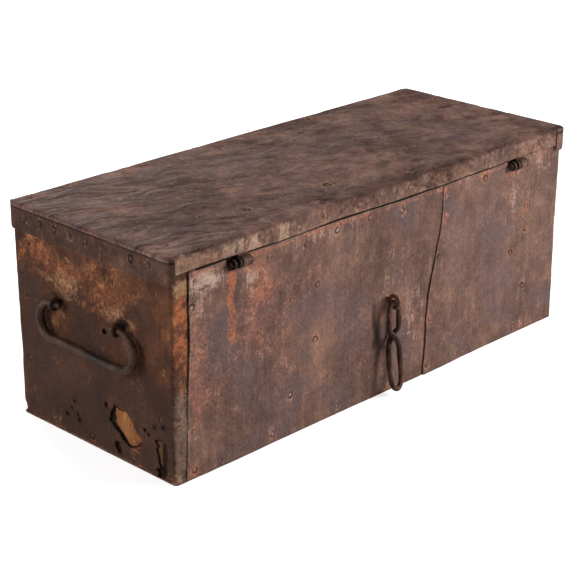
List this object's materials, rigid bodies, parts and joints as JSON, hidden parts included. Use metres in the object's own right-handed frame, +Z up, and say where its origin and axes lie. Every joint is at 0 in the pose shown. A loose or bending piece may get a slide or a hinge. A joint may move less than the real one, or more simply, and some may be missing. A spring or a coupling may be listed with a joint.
{
  "type": "iron-bound strongbox",
  "caption": "Long low strongbox of nailed boards clad all over in hammered sheet iron, with a hinged lid, drop bails at the ends, a figure-eight link and a hasp.",
  "frame": {"origin": "middle of the base, on the surface the box stands on", "axes": "+X along the length, from the worn end to the other end; -Y is the hinge side with the link, +Y the lock side; +Z up"},
  "size_m": [0.5874, 0.28, 0.2194],
  "materials": {
    "sheet_iron": "hammered sheet iron, brown patina with rust",
    "end_iron": "sheet iron with orange and yellow rust",
    "forged_iron": "forged iron, black-brown, rubbed at the edges",
    "nail_iron": "rusted clout nails",
    "board": "bare sawn wood, aged"
  },
  "bodies": {
    "case": {"hinge_side_board": "board", "lock_side_board": "board", "end_board_left": "board", "end_board_right": "board", "bottom_board": "board", "hinge_side_sheet_left": "sheet_iron", "hinge_side_sheet_right": "sheet_iron", "lock_side_sheet_left": "sheet_iron", "lock_side_sheet_right": "sheet_iron", "end_sheet_left": "end_iron", "end_sheet_right": "end_iron", "bottom_sheet": "sheet_iron", "hinge_case_leaf_left": "forged_iron", "hinge_case_leaf_right": "forged_iron", "hinge_pin_left": "forged_iron", "hinge_pin_right": "forged_iron", "bail_eyes_left": "forged_iron", "bail_eyes_right": "forged_iron", "link_staple": "forged_iron", "padlock_staple": "forged_iron", "hinge_side_nails": "nail_iron", "lock_side_nails": "nail_iron", "end_nails_left": "nail_iron", "end_nails_right": "nail_iron", "bottom_nails": "nail_iron", "carcass_nails": "nail_iron", "hinge_case_nails": "nail_iron"},
    "lid": {"lid_board": "board", "lid_top_sheet": "sheet_iron", "lid_end_band_left": "forged_iron", "lid_end_band_right": "forged_iron", "hinge_lid_leaf_left": "forged_iron", "hinge_lid_leaf_right": "forged_iron", "hinge_lid_nails": "nail_iron", "lid_top_nails": "nail_iron", "lid_rim_nails": "nail_iron", "lid_band_nails_left": "nail_iron", "lid_band_nails_right": "nail_iron", "hasp_leaf": "forged_iron", "hasp_leaf_nails": "nail_iron", "hasp_pin": "forged_iron"},
    "hasp": {"hasp_strap": "forged_iron"},
    "link": {"figure_eight_link": "forged_iron"},
    "left_bail": {"bail_left": "forged_iron"},
    "right_bail": {"bail_right": "forged_iron"}
  },
  "joints": [
    {"name": "lid_hinge", "type": "hinge", "parent": "case", "child": "lid", "pos_m": [0, -0.11325, 0.194], "axis": [1, 0, 0], "range_deg": [0, 180]},
    {"name": "hasp_hinge", "type": "hinge", "parent": "lid", "child": "hasp", "pos_m": [0, 0.11635, 0.205], "axis": [1, 0, 0], "range_deg": [-36, 150]},
    {"name": "link_swing", "type": "hinge", "parent": "case", "child": "link", "pos_m": [0.0035, -0.11895, 0.0985], "axis": [1, 0, 0], "range_deg": [-170, 0]},
    {"name": "left_bail_swing", "type": "hinge", "parent": "case", "child": "left_bail", "pos_m": [-0.2866, 0, 0.134], "axis": [0, 1, 0], "range_deg": [-3, 183]},
    {"name": "right_bail_swing", "type": "hinge", "parent": "case", "child": "right_bail", "pos_m": [0.2866, 0, 0.134], "axis": [0, -1, 0], "range_deg": [-3, 183]}
  ]
}
